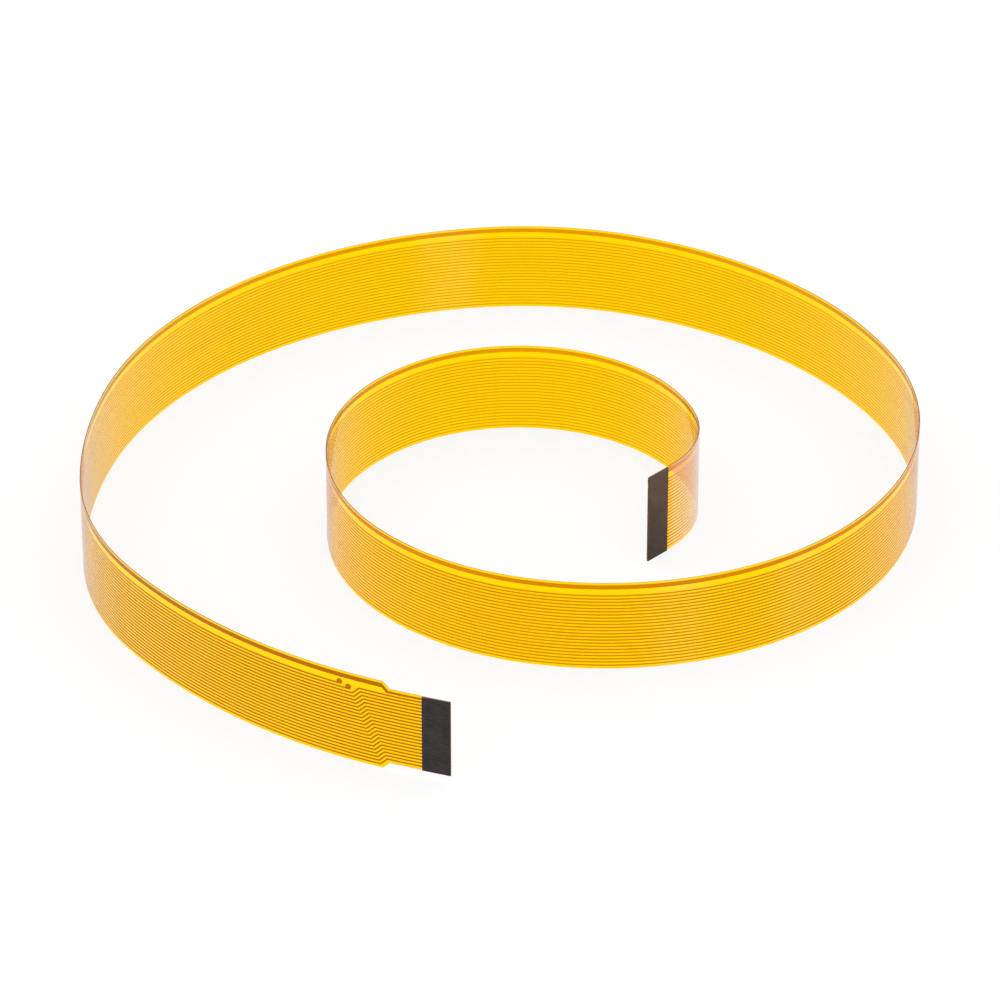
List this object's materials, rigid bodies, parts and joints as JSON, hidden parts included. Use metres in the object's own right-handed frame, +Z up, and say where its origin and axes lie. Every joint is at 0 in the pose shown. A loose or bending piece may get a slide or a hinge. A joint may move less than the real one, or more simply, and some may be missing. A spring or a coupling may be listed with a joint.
{
  "type": "flexible printed circuit ribbon cable",
  "caption": "Long flexible printed circuit ribbon: parallel copper conductors between amber films, a narrowed contact tail, stiffened ends, loosely coiled on its long edge.",
  "frame": {"origin": "centre of the coil's bounding box, on the surface that the ribbon's long edge stands on", "axes": "+Z up across the ribbon's width; +X and +Y in the plane of the coil, with the narrow tail's end at the -Y side, which is the picture's near side"},
  "size_m": [0.1172, 0.1286, 0.0135],
  "materials": {
    "base_film": "smooth amber polyimide film, translucent, with a soft gloss",
    "cover_film": "smooth amber polyimide film, translucent, with a soft gloss",
    "copper": "etched copper foil, seen amber through the films",
    "stiffener": "matt charcoal laminate with a fine grain"
  },
  "bodies": {
    "root": {"base_film": "base_film", "cover_film": "cover_film", "tail_stiffener": "stiffener", "inner_stiffener": "stiffener", "conductor_01": "copper", "conductor_02": "copper", "conductor_03": "copper", "conductor_04": "copper", "conductor_05": "copper", "conductor_06": "copper", "conductor_07": "copper", "conductor_08": "copper", "conductor_09": "copper", "conductor_10": "copper", "conductor_11": "copper", "conductor_12": "copper", "conductor_13": "copper", "conductor_14": "copper", "conductor_15": "copper", "conductor_16": "copper", "conductor_17": "copper", "conductor_18": "copper", "conductor_19": "copper", "conductor_20": "copper", "conductor_21": "copper", "conductor_22": "copper", "conductor_23": "copper", "wide_conductor": "copper"}
  },
  "joints": []
}
